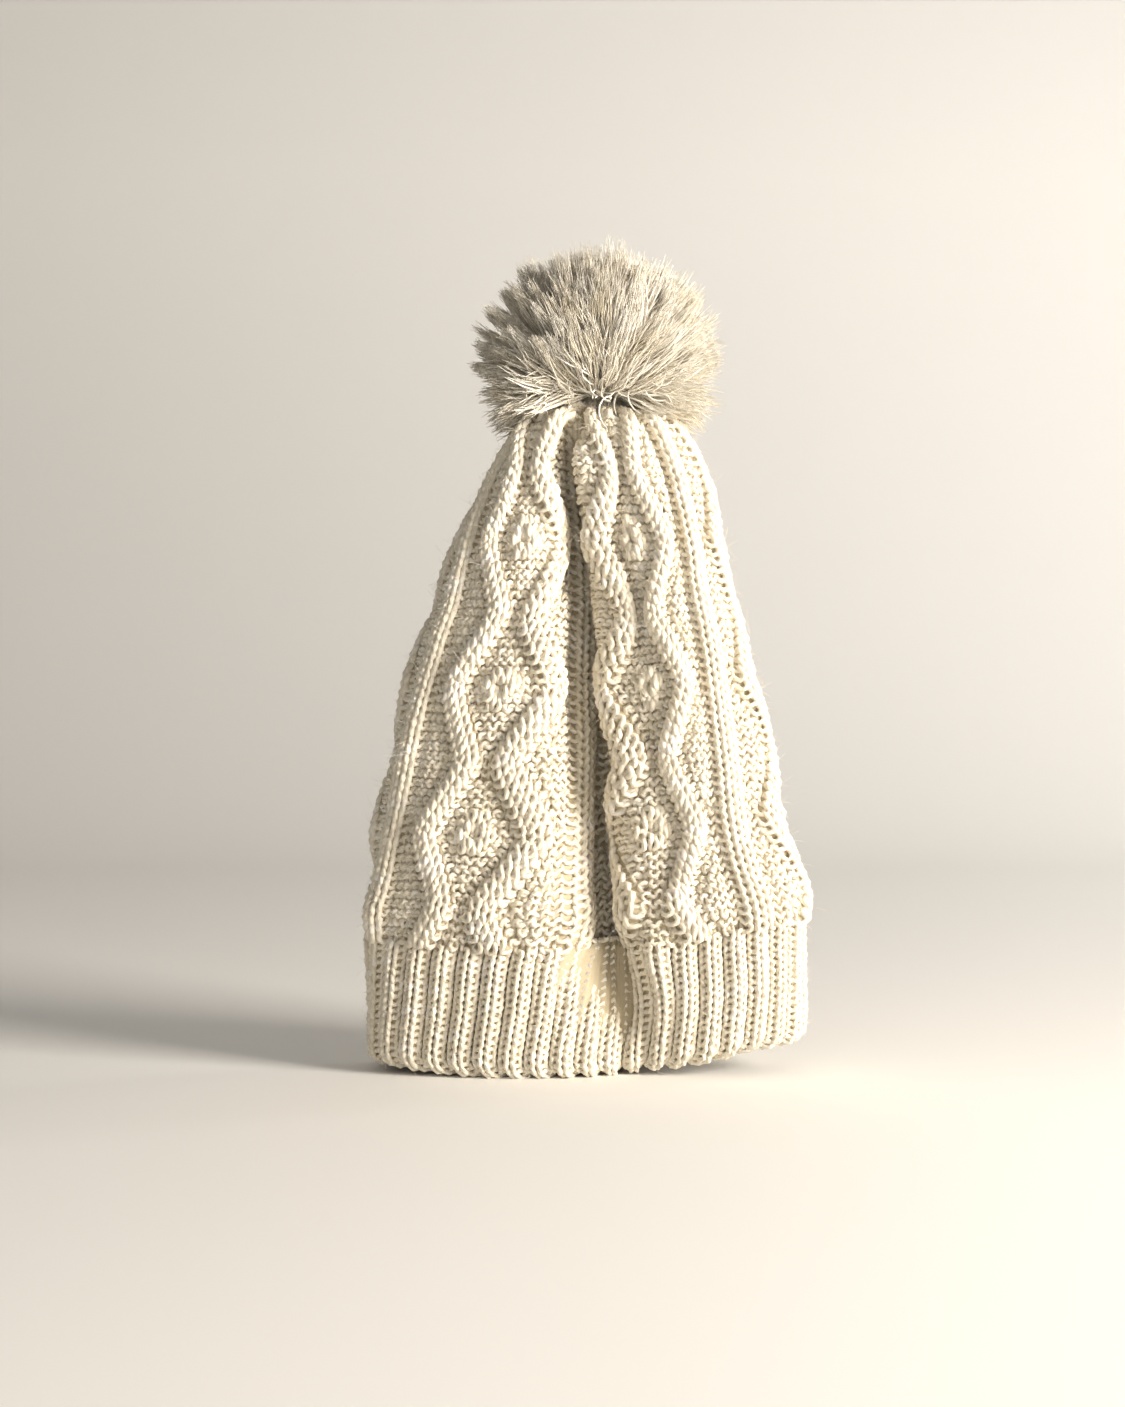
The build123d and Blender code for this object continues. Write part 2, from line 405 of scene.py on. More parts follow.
def creased(points, places):
    """The points with the fold's bottom drawn in and its right lip lapping over to the left."""
    u = np.arange(points.shape[1]) / STEP + FIRST
    z = np.clip(places, 0, HAT_TOP)
    off = u[None, :] - fold_column(z)[:, None]
    much = smooth((places + 2 * MM) / (60 * MM))[:, None] * (1 - smooth((z - 0.270) / 0.02))[:, None]
    points = points.copy()
    points[..., 1] += FOLD_CREASE * MM * much * np.exp(-((off / 2.9) ** 2))
    points[..., 1] += FLANK_SINK * MM * much * np.exp(-(((off + 6.5) / 5.5) ** 2))
    lap = np.exp(-(((off - 5.5) / 3.6) ** 2)) * smooth(off / 3)
    points[..., 0] -= FOLD_LAP * MM * much * lap * smooth((z / MM - 15) / 60)[:, None]
    points[..., 1] -= LIP_RISE * MM * much * np.exp(-(((off - 7.5) / 4.0) ** 2)) * smooth(off / 3)
    return points


HALF_PANEL = 16
PULLED_PANEL = COLUMNS - HALF_PANEL


class Surface:
    """A strip of the hat: a table of points, by place along the strip and by column.
    The panel left of the fold is stretched on its fold side, by pull columns at its middle."""

    def __init__(self, places, table, pull=0.0, spacing=2.0 * MM):
        self.pull = pull
        self.low, self.high = places[0], places[-1]
        count = int((self.high - self.low) / spacing) + 2
        self.places = np.linspace(self.low, self.high, count)
        rows = np.array([[np.interp(self.places, places, table[:, j, k]) for k in range(3)]
                         for j in range(table.shape[1])])
        points = creased(hung(rows.transpose(2, 0, 1)), self.places)
        for _ in range(3):
            points[1:-1] = (points[:-2] + 2 * points[1:-1] + points[2:]) / 4
            ring = points[:, :-1]
            ring = (np.roll(ring, 1, 1) + 2 * ring + np.roll(ring, -1, 1)) / 4
            points = np.concatenate([ring, ring[:, :1]], 1)
        self.points = points
        ring = points[:, :-1]
        across = np.roll(ring, -2, 1) - np.roll(ring, 2, 1)
        up = np.gradient(ring, axis=0)
        out = np.cross(across, up)
        out /= np.linalg.norm(out, axis=2)[..., None] + 1e-12
        self.out = np.concatenate([out, out[:, :1]], 1)

    def look(self, u, m):
        """Points and outward directions at columns u and places m, carried on a little past the ends."""
        v = (u % COLUMNS - PULLED_PANEL) / HALF_PANEL
        u = u - self.pull * np.clip(1 - v * v, 0, None)
        j = ((u - FIRST) % COLUMNS) * STEP
        i = (m - self.low) / (self.high - self.low) * (len(self.places) - 1)
        i0 = np.clip(np.floor(i).astype(int), 0, len(self.places) - 2)
        j0 = np.clip(j.astype(int), 0, COLUMNS * STEP - 1)
        a, b = (i - i0)[..., None], (j - j0)[..., None]
        found = []
        for t in (self.points, self.out):
            low = t[i0, j0] * (1 - b) + t[i0, j0 + 1] * b
            high = t[i0 + 1, j0] * (1 - b) + t[i0 + 1, j0 + 1] * b
            found.append(low * (1 - a) + high * a)
        return found


body = Surface(body_places, body_table, pull=3.0)
band = Surface(band_places, band_table)
print("middle stripe at the band:", np.round(body.look(np.array([0.0]), np.array([60 * MM]))[0] / MM, 1))

# %% [markdown]
# ## The knitting chart
#
# The body repeats five times round: a raised stripe two knit stitches wide, then a panel of purl
# ground with two wavy bands, mirrored, that swing apart and together every 65 mm. In each wide
# place sits a small round knot. A chart of squares would give every stitch the same width; here
# each course lists its own stitches, because knit stitches stand 7 mm wide and purl ones 5 mm.

# %% Chart of the body
REPEAT = 32
WAVE = 65.0
NARROW_AT = 72.0
STRIPE_STITCH = 2.4
BAND_STITCH = 1.9
PURL_STITCH = 1.63
PURLS_IN_PANEL = 12
KNOT_RING = 5.4


def swing(z):
    """From the panel's middle to a band's middle, in steps, at height z in mm."""
    turn = np.cos(2 * math.pi * (z - NARROW_AT) / WAVE)
    return 5.7 - 2.5 * np.arcsin(0.93 * turn) / math.asin(0.93)


def panel_place(u):
    """Steps from the middle of the nearest panel, -16 to 16."""
    return (u % REPEAT) - REPEAT / 2


def knot_distance(u, z):
    """How far, in mm, from the middle of the nearest knot."""
    off = (z - NARROW_AT) % WAVE - WAVE / 2
    return np.hypot(COLUMN_WIDTH * panel_place(u), off * 0.9)


def spread(low, high, count):
    """Middles and widths of stitches that share a gap evenly."""
    width = (high - low) / count
    return [low + width * (i + 0.5) for i in range(count)], [width] * count


def body_stitches(z):
    """Middle, width and face (1 knit, 0 purl) of every stitch of the course at z."""
    d = float(swing(z))
    inside = 2 * max(1, round((d - BAND_STITCH) / PURL_STITCH))
    outside = (PURLS_IN_PANEL - inside) // 2
    edge = REPEAT / 2 - STRIPE_STITCH
    runs = [
        (*spread(-REPEAT / 2, -edge, 1), 1),
        (*spread(-edge, -d - BAND_STITCH, outside), 0),
        (*spread(-d - BAND_STITCH, -d + BAND_STITCH, 2), 1),
        (*spread(-d + BAND_STITCH, d - BAND_STITCH, inside), 0),
        (*spread(d - BAND_STITCH, d + BAND_STITCH, 2), 1),
        (*spread(d + BAND_STITCH, edge, outside), 0),
        (*spread(edge, REPEAT / 2, 1), 1),
    ]
    middles = np.concatenate([run[0] for run in runs]) + REPEAT / 2
    widths = np.concatenate([run[1] for run in runs])
    faces = np.concatenate([[run[2]] * len(run[0]) for run in runs])
    faces = np.where(knot_distance(middles, z) < KNOT_RING + 2.2, 1, faces)
    turns = COLUMNS // REPEAT
    middles = np.concatenate([middles + REPEAT * k for k in range(turns)])
    return middles, np.tile(widths, turns), np.tile(faces, turns)


def hill(x, width, power=2):
    return np.exp(-((np.abs(x) / width) ** power))


def body_height(u, z):
    """The fabric's height above the ground, in mm."""
    v = panel_place(u)
    edge = np.abs(np.abs(v) - REPEAT / 2)
    deep = 1 + 0.7 * smooth((z - 175) / 90)
    stripe = 2.6 * hill(edge, 2.3, 4) - 1.9 * deep * hill(edge - 3.5, 1.3)
    off = np.abs(v) - swing(z)
    bands = 3.5 * hill(off, 2.1, 4) - 1.7 * hill(np.abs(off) - 3.2, 1.0)
    away = knot_distance(u, z)
    knot = 2.8 * hill(away - KNOT_RING, 2.3) - 1.2 * hill(away, 2.6)
    blouse = 2.2 * hill(z - 68, 9)
    return stripe + bands + knot + blouse


# %% Chart of the rib
RIB = 4
RIB_STITCH = 2.0


def rib_stitches(z):
    """Two knit stitches to a rib; the purl between ribs is drawn in and doesn't show."""
    middles = np.arange(0, COLUMNS, RIB_STITCH) + RIB_STITCH / 2 - RIB / 2
    return middles, np.full(len(middles), RIB_STITCH), np.ones(len(middles))


def rib_height(u, z):
    """Round ribs, with a deep gutter between them."""
    away = np.abs((u + RIB / 2) % RIB - RIB / 2)
    return 1.5 * hill(away, 1.5, 4) - 3.2 * hill(away - RIB / 2, 0.6)


print("stitches in a course:", len(body_stitches(100.0)[0]), "body,", len(rib_stitches(0)[0]), "rib")

# %% [markdown]
# ## Courses of stitches
#
# In plain knitting the yarn runs along the course in loops: forward along the foot between two
# stitches, up one leg, over the head and down the other leg. Sines describe that loop, with the
# legs in front of the feet and heads on a knit stitch and behind them on a purl stitch. The
# yarn's own twist makes each loop lean, so the right leg stands half a course above the left.

# %% One course as a closed line
LEAN = 0.18
TWIST = 0.67


def noise_wave(u, z, seed, scale):
    """A smooth unevenness in -1 to 1, periodic round the hat."""
    r = np.random.default_rng(seed)
    total = 0
    for _ in range(7):
        k, f = r.integers(1, 12), r.uniform(-1, 1) * scale
        total = total + np.sin(2 * math.pi * k * u / COLUMNS + f * z + r.uniform(0, 6.28))
    return total / 3.2


def knit_share(u, middles, faces):
    """1 within knit stitches and 0 within purl ones, changing smoothly between them."""
    ring_u = np.r_[middles[-1] - COLUMNS, middles, middles[0] + COLUMNS]
    ring_face = np.r_[faces[-1], faces, faces[0]]
    return smooth(2 * np.interp(u, ring_u, ring_face) - 0.5)


def course(surface, place, stitches, height, ground, loop, samples):
    """The line of one course of stitches at that place, and how thick its yarn stays there.
    Loop is its height and depth in mm; purl stitches pull the yarn thinner."""
    z = place / MM
    middles, widths, faces = stitches(z)
    theta = 2 * math.pi * np.arange(samples)[None] / samples
    even = middles[:, None] + widths[:, None] * (theta / (2 * math.pi) - 0.5)
    u = even + widths[:, None] * LEAN * np.sin(2 * theta)
    grow = 1 + 0.09 * rng.normal(size=(len(middles), 1))
    m = place + MM * (-0.5 * loop[0] * np.cos(theta) * grow + 0.6 * noise_wave(u, z, 5, 0.1))
    knit = knit_share(even, middles, faces)
    depth = (1.3 - 2.3 * knit) * loop[1] * np.cos(2 * theta + TWIST) * grow
    rise = height(u, z) + 0.6 * noise_wave(u, z, 9, 0.09) + ground
    rise = rise + 0.14 * rng.normal(size=(len(middles), 1))
    points, out = surface.look(u.ravel(), m.ravel())
    return points + out * ((rise + depth).ravel() * MM)[:, None], (0.76 + 0.24 * knit).ravel()


# %% [markdown]
# ## From line to yarn
#
# A Geometry Nodes tree turns any set of lines into yarn: each edge chain becomes a curve, a round
# profile is swept along it at the thickness stored on its points, and the place along and around
# the yarn is kept for the material. Stitches, seams, strands and stray hairs all pass through it,
# with three dye lots of the same yarn chosen by a number on each point.


# %% The yarn tree
def yarn_tree():
    tree = bpy.data.node_groups.new("yarn_along_lines", "GeometryNodeTree")
    face = tree.interface
    face.new_socket("Lines", in_out="INPUT", socket_type="NodeSocketGeometry")
    face.new_socket("Sides", in_out="INPUT", socket_type="NodeSocketInt")
    face.new_socket("Closed Ends", in_out="INPUT", socket_type="NodeSocketBool")
    for name in ("Yarn", "Paler Yarn", "Deeper Yarn"):
        face.new_socket(name, in_out="INPUT", socket_type="NodeSocketMaterial")
    face.new_socket("Yarn Mesh", in_out="OUTPUT", socket_type="NodeSocketGeometry")
    given = add(tree, "NodeGroupInput")
    thick = add(tree, "GeometryNodeInputNamedAttribute", {"Name": "thick"}, data_type="FLOAT")
    lot = add(tree, "GeometryNodeInputNamedAttribute", {"Name": "lot"}, data_type="INT")
    curves = add(tree, "GeometryNodeMeshToCurve", {"Mesh": given.outputs["Lines"]})
    run = add(tree, "GeometryNodeSplineParameter")
    marked = add(
        tree,
        "GeometryNodeStoreNamedAttribute",
        {"Geometry": curves.outputs["Curve"], "Name": "along", "Value": run.outputs["Length"]},
        data_type="FLOAT",
        domain="POINT",
    )
    ring = add(
        tree, "GeometryNodeCurvePrimitiveCircle", {"Resolution": given.outputs["Sides"], "Radius": 1.0}
    )
    where = add(tree, "GeometryNodeInputPosition")
    profile = add(
        tree,
        "GeometryNodeStoreNamedAttribute",
        {"Geometry": ring.outputs["Curve"], "Name": "around", "Value": where.outputs[0]},
        data_type="FLOAT_VECTOR",
        domain="POINT",
    )
    tube = add(
        tree,
        "GeometryNodeCurveToMesh",
        {
            "Curve": marked.outputs[0],
            "Profile Curve": profile.outputs[0],
            "Scale": thick.outputs[0],
            "Fill Caps": given.outputs["Closed Ends"],
        },
    )
    soft = add(tree, "GeometryNodeSetShadeSmooth", {"Geometry": tube.outputs[0]})
    shown = soft.outputs[0]
    for value, name in ((0, "Yarn"), (1, "Paler Yarn"), (2, "Deeper Yarn")):
        match = add(
            tree,
            "FunctionNodeCompare",
            {2: lot.outputs[0], 3: value},
            data_type="INT",
            operation="EQUAL",
        )
        dyed = add(
            tree,
            "GeometryNodeSetMaterial",
            {"Geometry": shown, "Selection": match.outputs[0], "Material": given.outputs[name]},
        )
        shown = dyed.outputs[0]
    real = add(tree, "GeometryNodeRealizeInstances", {"Geometry": shown})
    add(tree, "NodeGroupOutput", {"Yarn Mesh": real.outputs[0]})
    return tree


YARN_TREE = yarn_tree()
YARN_INPUTS = {
    s.name: s.identifier for s in YARN_TREE.interface.items_tree if s.in_out == "INPUT"
}


def lines_mesh(name, lines, closed, thick, lot):
    """A mesh of edge chains: lines is (chains, points, 3), thick and lot are for each point."""
    chains, n = lines.shape[:2]
    first = np.arange(chains * n).reshape(chains, n)
    if closed:
        edges = np.stack([first, np.roll(first, -1, 1)], -1).reshape(-1, 2)
    else:
        edges = np.stack([first[:, :-1], first[:, 1:]], -1).reshape(-1, 2)
    mesh = bpy.data.meshes.new(name)
    mesh.vertices.add(chains * n)
    mesh.vertices.foreach_set("co", lines.reshape(-1).astype(np.float32))
    mesh.edges.add(len(edges))
    mesh.edges.foreach_set("vertices", edges.reshape(-1).astype(np.int32))
    for key, kind, values in (("thick", "FLOAT", thick), ("lot", "INT", lot)):
        mesh.attributes.new(key, kind, "POINT")
        number = np.float32 if kind == "FLOAT" else np.int32
        each = np.broadcast_to(values, (chains, n)).reshape(-1).astype(number)
        mesh.attributes[key].data.foreach_set("value", each)
    return mesh


def yarn(name, lines, thick, lot=0, sides=5, closed=False, materials=(CREAM, CREAM_PALE, CREAM_DEEP)):
    """A piece of yarn along the lines, with thick its radius in metres."""
    piece = put(name, lines_mesh(name, np.asarray(lines), closed, thick, lot))
    maker = piece.modifiers.new("yarn", "NODES")
    maker.node_group = YARN_TREE
    maker[YARN_INPUTS["Sides"]] = sides
    maker[YARN_INPUTS["Closed Ends"]] = not closed
    for key, material in zip(("Yarn", "Paler Yarn", "Deeper Yarn"), materials):
        maker[YARN_INPUTS[key]] = material
    bpy.context.view_layer.update()
    graph = bpy.context.evaluated_depsgraph_get()
    made = bpy.data.meshes.new_from_object(piece.evaluated_get(graph))
    made.name = name
    piece.modifiers.remove(maker)
    piece.data = made
    triangles = sum(len(p.vertices) - 2 for p in made.polygons)
    print(name, triangles, "triangles")
    return piece


# %% [markdown]
# ## Knitting the body, the band and the facing
#
# Courses lie 4.2 mm apart in the body and 3.35 mm apart in the firmer rib. A dozen of them make
# one piece, so that no mesh grows too heavy. The yarn is 2.8 mm thick in the body and 2.4 mm
# where the rib stretches it, a little uneven, and its dye lot drifts along each course.

# %% Knit the courses
COURSE = 4.2 * MM
RIB_COURSE = 3.35 * MM
BODY_LOOP = (6.4, 1.0)
RIB_LOOP = (5.2, 0.9)


def knit(name, surface, places, stitches, height, ground, loop, thick, sides=6, samples=10):
    """The courses at those places, as pieces of a dozen courses each."""
    pieces = []
    for k in range(0, len(places), 12):
        group = places[k : k + 12]
        made = [course(surface, m, stitches, height, ground, loop, samples) for m in group]
        lines, drawn_out = np.array([line for line, _ in made]), np.array([part for _, part in made])
        count = lines.shape[1] // samples
        drift = np.array([noise_wave(COLUMNS * np.arange(count) / count, m / MM, 31, 1.3) for m in group])
        spots = rng.random((len(group), count))
        lot = np.where(drift + spots > 1.25, 1, np.where(drift - spots < -1.2, 2, 0))
        uneven = 1 + 0.06 * rng.normal(size=(len(group), count))
        lot, uneven = np.repeat(lot, samples, axis=1), np.repeat(uneven, samples, axis=1)
        label = f"{name}_{k // 12 + 1}"
        pieces.append(yarn(label, lines, thick * uneven * drawn_out, lot, sides, closed=True))
    return pieces


body_courses = np.arange(BAND_TOP + 1.2 * MM, body.high - 0.3 * COURSE, COURSE)
body_pieces = knit("knitted_body", body, body_courses, body_stitches, body_height, -1.2,
                   BODY_LOOP, 1.38 * MM)
hem_end = TURN - math.pi * TURN
band_courses = np.arange(hem_end + 1.5 * MM, BAND_TOP - 0.3 * RIB_COURSE, RIB_COURSE)
band_pieces = knit("ribbed_band", band, band_courses, rib_stitches, rib_height, -1.0,
                   RIB_LOOP, 1.18 * MM)
facing_courses = np.arange(band.low + 1.6 * MM, hem_end, RIB_COURSE)
facing_pieces = knit("ribbed_facing", band, facing_courses, rib_stitches, rib_height, -1.2,
                     RIB_LOOP, 1.0 * MM, 4, 6)

# %% [markdown]
# ## The fabric between the stitches
#
# Behind the front legs of the stitches lies more yarn, fibres and the floats of the bands, so a
# knitted fabric lets no light through. A closed shell just under the stitches stands for it. It
# follows the same relief, and its inside is what is seen when looking up into the hat. Its
# colour is darker than the yarn's: painted shade for the gaps between stitches and the inside.

# %% Fabric shells


def fabric_material(name, code):
    """Matted back of the knitting, coloured darker than the yarn as painted shade, with a bump for every
    stitch of its chart.
    """
    material = bpy.data.materials.new(name)
    material.use_nodes = True
    tree = material.node_tree
    tree.nodes.clear()
    chart_map = add(tree, "ShaderNodeUVMap", uv_map="stitches")
    bumps = add(
        tree,
        "ShaderNodeTexVoronoi",
        {"Vector": chart_map.outputs[0], "Scale": 1.0, "Randomness": 0.35},
        feature="SMOOTH_F1",
    )
    place = add(tree, "ShaderNodeTexCoord")
    fuzz = add(
        tree,
        "ShaderNodeTexNoise",
        {"Vector": place.outputs["Object"], "Scale": 1 / (0.6 * MM), "Detail": 3.0},
    )
    stitch_bump = add(
        tree,
        "ShaderNodeBump",
        {"Height": bumps.outputs["Distance"], "Strength": 0.9, "Distance": 1.2 * MM},
        invert=True,
    )
    fuzz_bump = add(
        tree,
        "ShaderNodeBump",
        {
            "Height": fuzz.outputs["Fac"],
            "Strength": 0.7,
            "Distance": 0.4 * MM,
            "Normal": stitch_bump.outputs["Normal"],
        },
    )
    shader = add(
        tree,
        "ShaderNodeBsdfPrincipled",
        {
            "Base Color": linear(code),
            "Roughness": 0.95,
            "Specular IOR Level": 0.2,
            "Sheen Weight": 0.3,
            "Normal": fuzz_bump.outputs["Normal"],
        },
    )
    add(tree, "ShaderNodeOutputMaterial", {"Surface": shader.outputs[0]})
    return material


# Darker than the yarn: painted shade, seen in the gaps between stitches and inside the hat.
SHADED_FABRIC = fabric_material("wool_jersey_back_in_painted_shade", "#BFB297")


def shell(name, surface, low, high, step, height, outer, inner, per_column=2):
    """A closed shell of fabric between two depths, in mm, along part of a strip."""
    places = np.linspace(low, high, int((high - low) / step) + 1)
    u = np.arange(COLUMNS * per_column) / per_column + FIRST
    uu, mm = np.meshgrid(u, places)
    points, out = surface.look(uu, mm)
    rise = height(uu, mm / MM) + 0.55 * noise_wave(uu, mm / MM, 9, 0.09)
    front = points + out * ((rise + outer) * MM)[..., None]
    behind = points + out * ((0.35 * rise + inner) * MM)[..., None]
    rows, cols = uu.shape
    ids = np.arange(rows * cols).reshape(rows, cols)
    grid = np.stack([ids[:-1], np.roll(ids, -1, 1)[:-1], np.roll(ids, -1, 1)[1:], ids[1:]], -1)
    back = grid[..., ::-1] + rows * cols
    near, far = ids[0], ids[-1]
    skip = rows * cols
    bottom = np.stack([np.roll(near, -1), near, near + skip, np.roll(near, -1) + skip], -1)
    top = np.stack([far, np.roll(far, -1), np.roll(far, -1) + skip, far + skip], -1)
    faces = np.concatenate([grid.reshape(-1, 4), back.reshape(-1, 4), bottom, top])
    mesh = bpy.data.meshes.new(name)
    corners = np.concatenate([front.reshape(-1, 3), behind.reshape(-1, 3)])
    mesh.from_pydata(corners.tolist(), [], faces.tolist())
    uv = mesh.uv_layers.new(name="stitches")
    at_u = np.tile(u, 2 * rows)
    at_m = np.tile(np.repeat(places / COURSE, cols), 2)
    wrapped = at_u[faces]
    wrapped = np.where(wrapped - wrapped.min(1, keepdims=True) > COLUMNS / 2, wrapped - COLUMNS, wrapped)
    both = np.stack([wrapped, at_m[faces]], -1)
    uv.data.foreach_set("uv", both.reshape(-1).astype(np.float32))
    mesh.polygons.foreach_set("use_smooth", np.ones(len(faces), bool))
    mesh.materials.append(SHADED_FABRIC)
    print(name, 2 * len(faces), "triangles")
    return put(name, mesh)


body_fabric = shell(
    "body_fabric", body, BAND_TOP - 1.0 * MM, body.high, 3.4 * MM, body_height, -1.7, -4.6
)
band_fabric = shell(
    "band_fabric", band, band.low, BAND_TOP - 0.5 * MM, 3.4 * MM, rib_height, -2.2, -3.6
)

# %% [markdown]
# ## Seams, ties and the chain
#
# The facing is linked to the tube by a chain of loops, both layers are sewn up the back, and a
# doubled thread draws the crown together and carries the pompom. Each is yarn along a line: the
# line zigzags for a seam, makes loops for a chain, and winds for a binding or a knot.


# %% Small yarn pieces
def helix(centre, radius, turns, rise, points=24, start=0.0):
    """A helix about a vertical axis."""
    t = np.linspace(0, turns, int(turns * points) + 1)
    a = 2 * math.pi * t + start
    z = rise * (t / turns - 0.5)
    return np.stack([centre[0] + radius * np.cos(a), centre[1] + radius * np.sin(a), centre[2] + z], -1)


def seam(name, node, depth):
    """A sewing yarn that zigzags up the line where the frame's seam lies."""
    low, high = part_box(node)
    count = int((high.z - low.z) / (2.4 * MM))
    z = np.linspace(low.z + 1 * MM, high.z - 1 * MM, count * 8)
    swing_x = 1.9 * MM * np.sin(2 * math.pi * (z - low.z) / (4.8 * MM))
    sag = 0.5 * MM * np.cos(4 * math.pi * (z - low.z) / (4.8 * MM))
    target = skin(node)
    x, y = np.zeros_like(z), np.zeros_like(z)
    for i, height in enumerate(z):
        hit = shoot(target, (low.x / 2 + high.x / 2, 0, height), (0, 1, 0))
        y[i] = y[i - 1] if hit is None else hit[1]
        x[i] = x[i - 1] if hit is None else hit[0]
    y[y == 0] = y[y != 0].mean() if (y != 0).any() else (low.y + high.y) / 2
    line = np.stack([x + swing_x, y + depth * MM + sag, z], -1)
    return yarn(name, line[None], 0.8 * MM, 0, 6)


band_seam = seam("band_back_seam", "brim_seam", 0.6)
body_seam = seam("body_back_seam", "crown_seam", 0.6)

ring_u = np.arange(FIRST, BACK, 0.125)
chain_at, chain_out = band.look(ring_u, np.full_like(ring_u, band.low + 0.6 * MM))
chain_at[:, 2] += 1.6 * MM
phase = 2 * math.pi * ring_u / 2
links = [
    chain_at
    - chain_out * (2.0 * MM + MM * 0.9 * s * np.sin(phase))[:, None]
    + np.outer(0.7 * MM * np.cos(2 * phase + s), [0, 0, 1])
    for s in (-1, 1)
]
chain = yarn("linking_loops", np.array(links), 0.8 * MM, 0, 5, closed=True)

tie_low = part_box("draw_thread")[0]
draw_mid = (tie_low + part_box("draw_thread")[1]) / 2
ring_a = np.linspace(0, 2 * math.pi, 96, endpoint=False)
rings = [
    np.stack(
        [
            draw_mid.x + (9.0 + k) * MM * np.cos(ring_a),
            draw_mid.y + (9.0 + k) * MM * np.sin(ring_a),
            draw_mid.z + (0.2 + 0.4 * np.sin(12 * ring_a + k * 3)) * MM,
        ],
        -1,
    )
    for k in (-0.6, 0.6)
]
draw = yarn("drawn_thread", np.array(rings), 0.55 * MM, 0, 6, closed=True, materials=(SEWING,) * 3)

tie_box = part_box("pompom_tie")
tie_mid = (tie_box[0] + tie_box[1]) / 2
tie_long = tie_box[1].z - tie_box[0].z
tie_lines = np.array([helix(tie_mid, 0.75 * MM, 1.5, tie_long - 1.2 * MM, 16, s) for s in (0, math.pi)])
tie = yarn("doubled_tie", tie_lines, 0.8 * MM, 0, 8, materials=(SEWING,) * 3)

knot_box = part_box("anchor_thread")
up_lines = np.array(
    [
        helix((tie_mid.x, 0, (knot_box[0].z + knot_box[1].z) / 2 + 1.5 * MM), 0.75 * MM, 4,
              knot_box[1].z - knot_box[0].z - 4 * MM, 16, s)
        for s in (0, math.pi)
    ]
)
anchor_up = yarn("tie_through_crown", up_lines, 0.8 * MM, 0, 6, materials=(SEWING,) * 3)
t = np.linspace(0, 2 * math.pi, 140, endpoint=False)
knot_line = np.stack(
    [
        tie_mid.x + MM * (3.1 + 1.1 * np.cos(3 * t)) * np.cos(2 * t),
        MM * (3.1 + 1.1 * np.cos(3 * t)) * np.sin(2 * t),
        knot_box[0].z + 3 * MM + MM * 1.6 * np.sin(3 * t),
    ],
    -1,
)
anchor_knot = yarn("tie_knot", knot_line[None], 1.0 * MM, 0, 8, closed=True, materials=(SEWING,) * 3)

bind_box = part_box("pompom_binding")
bind_mid = (bind_box[0] + bind_box[1]) / 2
windings = np.concatenate(
    [
        helix((bind_mid.x, bind_mid.y, bind_mid.z), 6.9 * MM, 3, 2.4 * MM, 28),
        helix((bind_mid.x, bind_mid.y, bind_mid.z), 7.7 * MM, 3, -2.0 * MM, 28),
    ]
)
binding = yarn("wound_binding", windings[None], 0.55 * MM, 0, 6, materials=(SEWING,) * 3)

# %% [markdown]
# ## The pompom
#
# A pompom is wound yarn, tied at the waist and cut, so every strand runs from the tied waist to
# the ball's surface. Worn strands mat into pointed tufts, most of all on the left, while the
# right stays even and dense. Each tuft is a bundle of filaments that spread and then close at the
# tip. The ball hangs back from the crown, so low in front the roots of the strands can be seen.

# %% Strands of the pompom
pile_low, pile_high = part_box("pompom_pile")
core_low, core_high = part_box("pompom_core")
POM_X = (pile_low.x + pile_high.x) / 2
POM_R = (pile_high.x - pile_low.x) / 2
ROOT = np.array([POM_X, 0, (core_low.z + core_high.z) / 2])
POM_UP = pile_high.z - ROOT[2]


def directions(count, seed):
    """Evenly spread directions, a little shaken."""
    r = np.random.default_rng(seed)
    i = np.arange(count) + 0.5
    z = 1 - 1.6 * i / count
    a = math.pi * (1 + 5**0.5) * i
    flat = np.sqrt(np.clip(1 - z * z, 0, 1))
    way = np.stack([flat * np.cos(a), flat * np.sin(a), z], -1) + r.normal(0, 0.07, (count, 3))
    return way / np.linalg.norm(way, axis=1)[:, None]


def pile_reach(way):
    """How far a strand in that direction reaches from the waist: a dome, flatter at its skirt."""
    flat = math.hypot(way[0], way[1])
    if way[2] > 0:
        return 1 / math.sqrt((flat / POM_R) ** 2 + (way[2] / POM_UP) ** 2) * (1 + 0.10 * flat * way[2])
    return POM_R * (1 + 0.12 * way[2])


def bundle(line, filaments, spread, close, r):
    """Filaments along a line, spread in the middle and closing towards the tip."""
    points = len(line)
    t = np.linspace(0, 1, points)[None, :, None]
    length = np.linalg.norm(line[-1] - line[0])
    side = r.normal(size=(filaments, 3))
    side /= np.linalg.norm(side, axis=1)[:, None]
    open_out = spread * np.sin(math.pi * np.clip(t * 0.62 + 0.06, 0, 1)) * (1 - t**4) + close * t**2
    wide = open_out * r.uniform(0.2, 1, (filaments, 1, 1))
    reach = 1 - 0.22 * r.random((filaments, 1, 1)) ** 2
    grown = line[0] + (line[None] - line[0]) * (1 - (1 - reach) * t)
    wave = np.sin(t * r.uniform(3, 9, (filaments, 1, 1)) + r.uniform(0, 6, (filaments, 1, 1)))
    return grown + side[:, None, :] * wide + np.roll(side, 1, 1)[:, None, :] * wave * 0.05 * length * t


